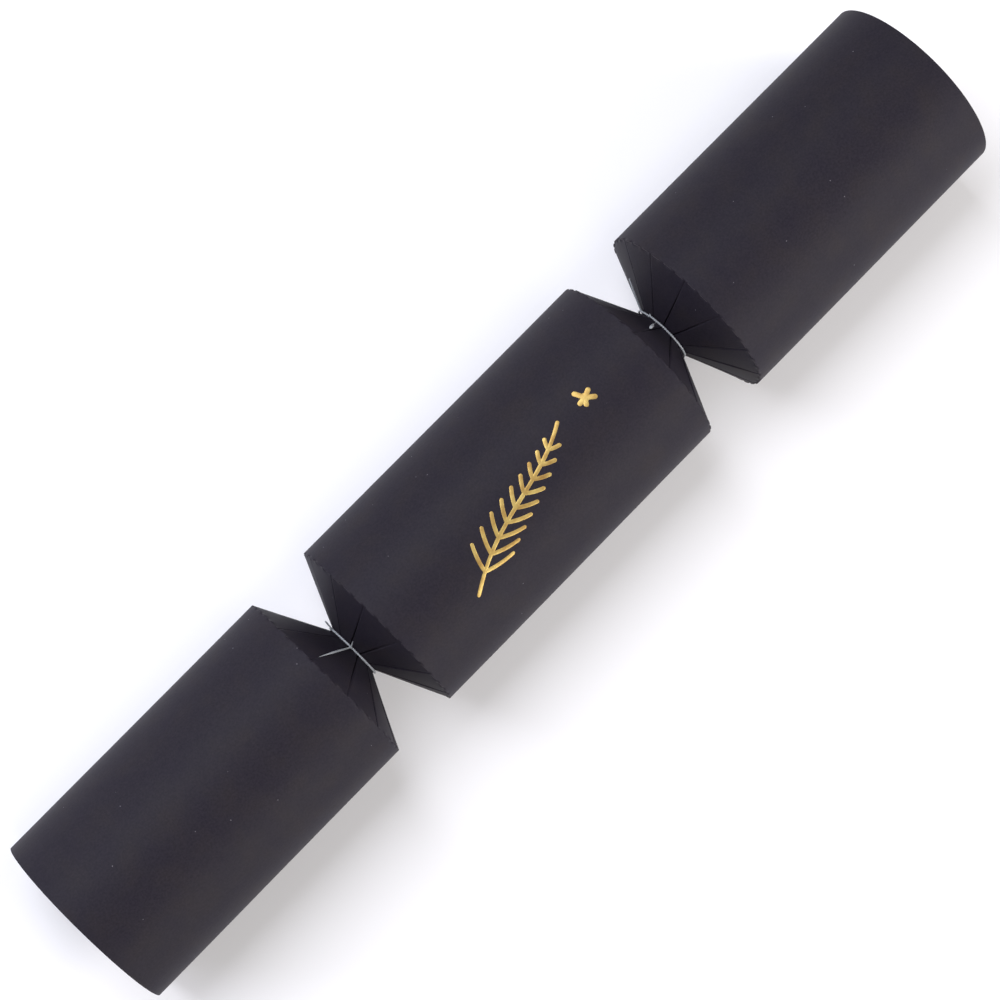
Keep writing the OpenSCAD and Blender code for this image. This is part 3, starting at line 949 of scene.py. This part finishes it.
bpy.ops.mesh.primitive_plane_add(size=table_size)
table = bpy.context.object
table.name = "table"
white_table, tree, shader, place = start_look(
    "white_table", Base_Color=linear("#efeff1"), Roughness=0.9, Specular_IOR_Level=0.0)
far_off = add_node(tree, "ShaderNodeVectorMath", {0: place}, operation="LENGTH")
whitening = add_node(tree, "ShaderNodeMapRange", {
    "Value": far_off.outputs["Value"], "From Min": shadow_reach, "From Max": white_from,
    "To Min": near_glow, "To Max": 1.0}, interpolation_type="SMOOTHSTEP")
beside = add_node(tree, "ShaderNodeSeparateXYZ", {"Vector": place})
# painted light: beyond the cracker on the +Y side the table glows more, which hides the faint
# shadow of the two low lamps
painted_fill = add_node(tree, "ShaderNodeMapRange", {
    "Value": beside.outputs["Y"], "From Min": painted_fill_from, "From Max": painted_fill_full,
    "To Min": 0.0, "To Max": painted_fill_glow}, interpolation_type="SMOOTHSTEP")
both = add_node(tree, "ShaderNodeMath", {
    0: whitening.outputs["Result"], 1: painted_fill.outputs["Result"]}, operation="ADD")
glow = add_node(tree, "ShaderNodeMath", {
    0: seen_directly(tree), 1: both.outputs[0]}, operation="MULTIPLY")
shader.inputs["Emission Color"].default_value = (1, 1, 1, 1)
tree.links.new(glow.outputs[0], shader.inputs["Emission Strength"])
table.data.materials.append(white_table)
print("made", white_table.name)

# %% Room light
# the room shows white to the camera and to mirrors, and lights the cracker with this strength
room_light = 0.2

world = bpy.data.worlds.new("soft_white_room")
bpy.context.scene.world = world
world.use_nodes = True
room = world.node_tree.nodes["Background"]
room.inputs["Color"].default_value = (1, 1, 1, 1)
brightness = add_node(world.node_tree, "ShaderNodeMath", {
    0: seen_directly(world.node_tree), 1: room_light}, operation="MAXIMUM")
world.node_tree.links.new(brightness.outputs[0], room.inputs["Strength"])
print("made", world.name)

# %% Lamps
lamp_distance = 0.8
lamp_size = 0.5


def soft_lamp(name, round_a, up_a, power, colour):
    """A square soft box that faces the middle of the cracker, at lamp_distance
    (cos up cos round, cos up sin round, sin up) from it."""
    level, lift = math.radians(round_a), math.radians(up_a)
    way = Vector((math.cos(lift) * math.cos(level), math.cos(lift) * math.sin(level),
                  math.sin(lift)))
    lamp = bpy.data.lights.new(name, "AREA")
    lamp.shape = "SQUARE"
    lamp.size = lamp_size
    lamp.energy = power
    lamp.color = linear(colour)[:3]
    holder = bpy.data.objects.new(name, lamp)
    holder.location = Vector((0, 0, axis_z)) + lamp_distance * way
    holder.rotation_euler = way.to_track_quat("Z", "Y").to_euler()
    bpy.context.scene.collection.objects.link(holder)
    print(f"{name}: {power} W")


# name, direction on the table, height as an angle, power in watts, colour
soft_lamp("lamp_upper_left", 98, 60, 5.9, "#f6f7ff")
soft_lamp("lamp_left_side", 128, 20, 2.8, "#ebeeff")
soft_lamp("lamp_lower_right", 315, 20, 4.2, "#fffaf7")
soft_lamp("lamp_right_side", 270, 20, 4.2, "#fffaf7")

# %% Camera
# where the camera stands, the point near the axis that it faces, the direction on
# the table that is up in the picture, and its focal length in picture widths
camera_at = Vector((-73.43, 0, 664.66)) * mm
camera_aim = Vector((-2.52, 0.17, 24.5)) * mm
picture_up = math.radians(44.436)
focal_widths = 2.7448
sensor_mm = 36

camera = bpy.data.objects.new("camera", bpy.data.cameras.new("camera"))
camera.data.sensor_width = sensor_mm
camera.data.lens = focal_widths * sensor_mm
back = (camera_at - camera_aim).normalized()
right = Vector((math.cos(picture_up), math.sin(picture_up), 0)).cross(back).normalized()
camera.matrix_world = Matrix.Translation(camera_at) @ Matrix(
    (right, back.cross(right), back)).transposed().to_4x4()
bpy.context.scene.collection.objects.link(camera)
bpy.context.scene.camera = camera
bpy.context.scene.view_settings.view_transform = "Standard"
print(f"camera {(camera_at - camera_aim).length / mm:.0f} mm from the cracker")
